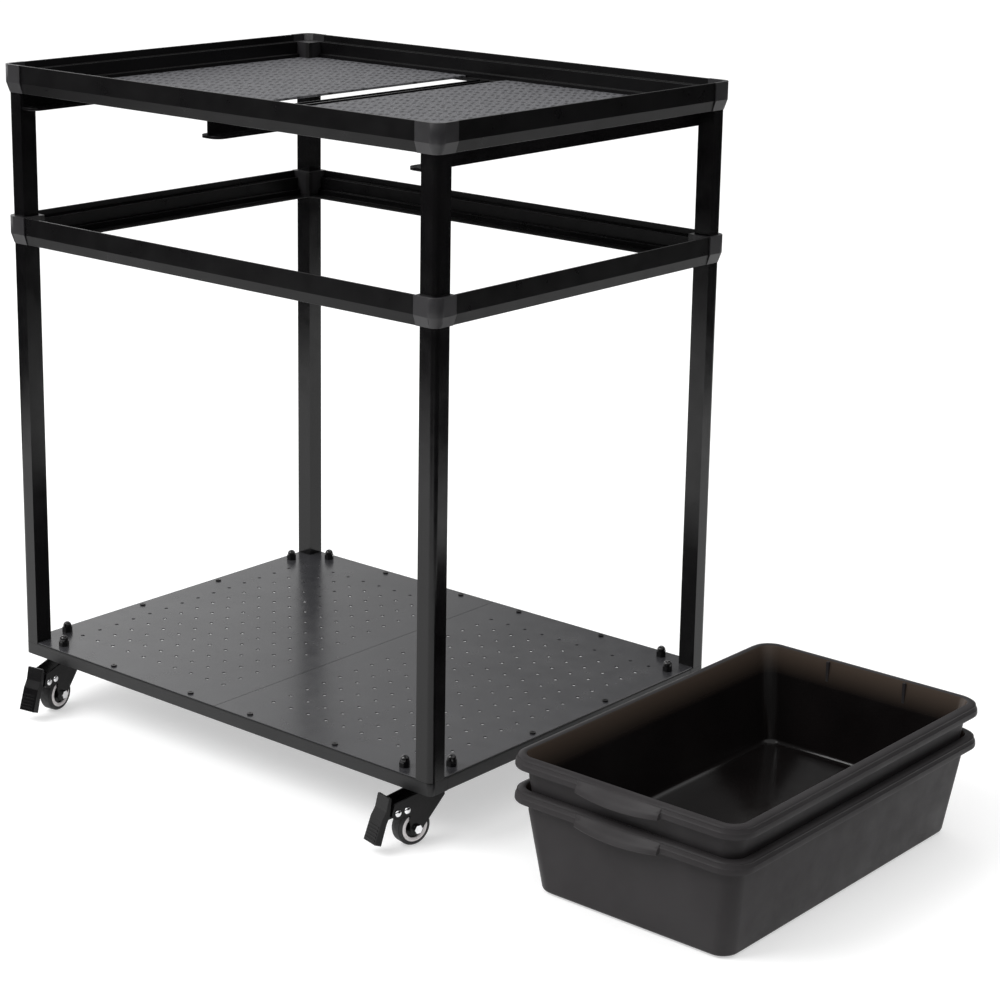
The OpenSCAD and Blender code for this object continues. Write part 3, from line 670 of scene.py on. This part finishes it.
def seat_on_caster(obj, corner, body):
    """Places a caster piece under its corner of the stand."""
    sx, sy, yaw = CASTERS[corner]
    place = (STAND_X + sx * (HALF_W - CASTER_INSET), sy * (HALF_D - CASTER_INSET), 0.0)
    obj.matrix_world = Matrix.Translation(place) @ Matrix.Rotation(math.radians(yaw), 4, "Z")
    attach(obj, body)


def make_hub(corner):
    """Hub with a pale double rim and a dark dish on each side."""
    near = [(r, WHEEL_HALF + out) for r, out in HUB_FACE]
    far = [(r, -WHEEL_HALF - out) for r, out in reversed(HUB_FACE)]
    mesh = bmesh.new()
    revolve(mesh, near + far, AXLE, True, HUB_DARK_R)
    obj = from_bmesh("hub_" + corner, mesh)
    dress(obj, MATERIALS["hub_plastic"], MATERIALS["caster_black"])
    shade(obj, HUB_SHARP)
    seat_on_caster(obj, corner, "wheel_" + corner)
    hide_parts("wheel_hub_" + corner)


def make_rivets(corner):
    """Bright domed heads: the fork's rivet rides on the fork, the pin's heads on the pedal."""
    heads = (("rivet_", RIVET, LEG_OUT, "swivel_"), ("pin_", PEDAL_PIN, LEG_OUT + PIN_PROUD, "pedal_"))
    for name, centre, out, body in heads:
        mesh = bmesh.new()
        for side in (-1, 1):
            revolve(mesh, [(r, side * (out + h)) for r, h in RIVET_DOME], centre)
        obj = from_bmesh(name + corner, mesh)
        dress(obj, MATERIALS["bright_chrome"])
        shade(obj, RIVET_SHARP)
        seat_on_caster(obj, corner, body + corner)


def make_tread(corner):
    """Raised grip ribs across the lower tread of the brake pedal."""
    run_x, run_z = TREAD_FOOT[0] - TREAD_TOP[0], TREAD_FOOT[1] - TREAD_TOP[1]
    tilt = Matrix.Rotation(math.atan2(-run_z, run_x) + math.pi, 4, "Y")
    box = Matrix.Diagonal((*TREAD_RIB_HALF, 1.0))
    mesh = bmesh.new()
    for i in range(TREAD_RIBS):
        share = TREAD_START + TREAD_STEP * i
        centre = Matrix.Translation((TREAD_TOP[0] + share * run_x, 0.0, TREAD_TOP[1] + share * run_z))
        bmesh.ops.create_cube(mesh, size=2.0, matrix=centre @ tilt @ box)
    obj = from_bmesh("tread_" + corner, mesh)
    dress(obj, MATERIALS["caster_black"])
    round_edges(obj, SMALL_EDGE)
    seat_on_caster(obj, corner, "pedal_" + corner)


def make_casters():
    """The hubs, rivets and pedal grips of all four casters."""
    for corner in CASTERS:
        make_hub(corner)
        make_rivets(corner)
        make_tread(corner)


# Scene

FLOOR_LIGHT, FLOOR_DARK = (0.66, 0.66, 0.66), (0.64, 0.64, 0.64)
FLOOR_GLOW = 0.45
# Name, size and place
FLOORS = (("floor", (40.0, 40.0), (0.0, 0.0, -0.0008)), ("floor_near", (2.5, 3.9), (-0.25, 0.45, -0.0004)))

# Brightness of the world, and the spans over which one part of it fades into the next
SKY, GROUND = (1.1, 1.1, 1.1), (0.02, 0.02, 0.02)
HORIZON_LEFT, HORIZON_RIGHT = 1.35, 0.15
HORIZON_SPAN, GROUND_SPAN, SKY_SPAN = (-0.76, -0.57), (-0.06, 0.04), (0.36, 0.6)

# Name, place, target, size, power, and whether it is for gloss only
LIGHTS = (
    ("key", (-1.2, -2.4, 2.8), (0.0, 0.0, 0.3), 2.0, 90.0, False),
    ("fill", (2.6, 0.6, 1.8), (0.1, 0.0, 0.3), 1.6, 1.5, False),
    ("rim", (-0.9, 1.3, 3.6), (0.1, 0.0, 0.2), 0.5, 14.0, True),
)

CAMERA_TARGET = Vector((0.0190, 0.0, 0.4026))
CAMERA_DISTANCE = 2.589
CAMERA_AZIMUTH = math.radians(39.68)
CAMERA_ELEVATION = math.radians(14.39)
CAMERA_ROLL = math.radians(1.02)
CAMERA_SENSOR, CAMERA_LENS = 36.0, 89.9
CAMERA_SHIFT = (-0.006, -0.1)
CAMERA_REACH = 60.0


def floor_material():
    """Pale matt floor that glows a little, so that it stays white far from the lights."""
    mat, tree, shader = new_material("floor_pale")
    tone = ramp(tree, noise(tree, coordinates(tree), scale=1.3), *NOISE_SPAN)
    link(tree, mixed(tree, tone, FLOOR_LIGHT, FLOOR_DARK), shader.inputs["Base Color"])
    set_inputs(shader, Roughness=0.7, Specular_IOR_Level=0.2)
    set_inputs(shader, Emission_Color=(*WHITE, 1.0), Emission_Strength=FLOOR_GLOW)
    return mat


def make_floor():
    """Plain floor, far larger than the object, and a small one that only gloss on the object mirrors."""
    mat = floor_material()
    for name, size, place in FLOORS:
        bpy.ops.mesh.primitive_plane_add(size=1.0, location=place)
        plane = bpy.context.object
        plane.scale = (size[0], size[1], 1.0)
        plane.name = name
        dress(plane, mat)
        if name == "floor":
            plane.visible_glossy = False
        else:
            plane.visible_camera = plane.visible_diffuse = plane.visible_shadow = False


def make_world():
    """Soft white sky, a horizon that fades across and a dim ground. The camera sees plain white."""
    world = bpy.data.worlds.new("soft_studio")
    world.use_nodes = True
    tree = world.node_tree
    back = tree.nodes["Background"]
    way = axes(tree, tree.nodes.new("ShaderNodeTexCoord").outputs["Generated"])
    horizon = mapped(tree, way["X"], HORIZON_LEFT, HORIZON_RIGHT, *HORIZON_SPAN)
    over_ground = ramp(tree, way["Z"], *GROUND_SPAN)
    in_sky = ramp(tree, way["Z"], *SKY_SPAN)
    light = mixed(tree, in_sky, mixed(tree, over_ground, GROUND, horizon), SKY)
    seen = tree.nodes.new("ShaderNodeLightPath").outputs["Is Camera Ray"]
    link(tree, mixed(tree, seen, light, WHITE), back.inputs["Color"])
    back.inputs["Strength"].default_value = 1.0
    bpy.context.scene.world = world


def make_light(name, place, target, size, power, gloss_only):
    """Square soft box that looks at a point."""
    data = bpy.data.lights.new(name, "AREA")
    data.shape = "SQUARE"
    data.size = size
    data.energy = power
    lamp = bpy.data.objects.new(name, data)
    bpy.context.collection.objects.link(lamp)
    lamp.location = place
    lamp.rotation_euler = (Vector(target) - Vector(place)).to_track_quat("-Z", "Y").to_euler()
    lamp.visible_diffuse = not gloss_only


def make_camera():
    """The photograph's view: azimuth from the front towards the right, a small roll and a small shift."""
    cos_e, sin_e = math.cos(CAMERA_ELEVATION), math.sin(CAMERA_ELEVATION)
    back = Vector((math.sin(CAMERA_AZIMUTH) * cos_e, -math.cos(CAMERA_AZIMUTH) * cos_e, sin_e))
    right = Vector((0.0, 0.0, 1.0)).cross(back).normalized()
    up = back.cross(right)
    cos_r, sin_r = math.cos(CAMERA_ROLL), math.sin(CAMERA_ROLL)
    right, up = cos_r * right + sin_r * up, cos_r * up - sin_r * right
    data = bpy.data.cameras.new("photo_camera")
    data.sensor_width = CAMERA_SENSOR
    data.lens = CAMERA_LENS
    data.shift_x, data.shift_y = CAMERA_SHIFT
    data.clip_end = CAMERA_REACH
    data.dof.use_dof = False
    cam = bpy.data.objects.new("photo_camera", data)
    bpy.context.collection.objects.link(cam)
    turn = Matrix((right, up, back)).transposed().to_4x4()
    cam.matrix_world = Matrix.Translation(CAMERA_TARGET + CAMERA_DISTANCE * back) @ turn
    bpy.context.scene.camera = cam


dress_nodes()
soften_nodes()
make_stand_details()
make_bins()
make_casters()
make_floor()
make_world()
for lamp_values in LIGHTS:
    make_light(*lamp_values)
make_camera()
bpy.context.scene.view_settings.view_transform = "Standard"
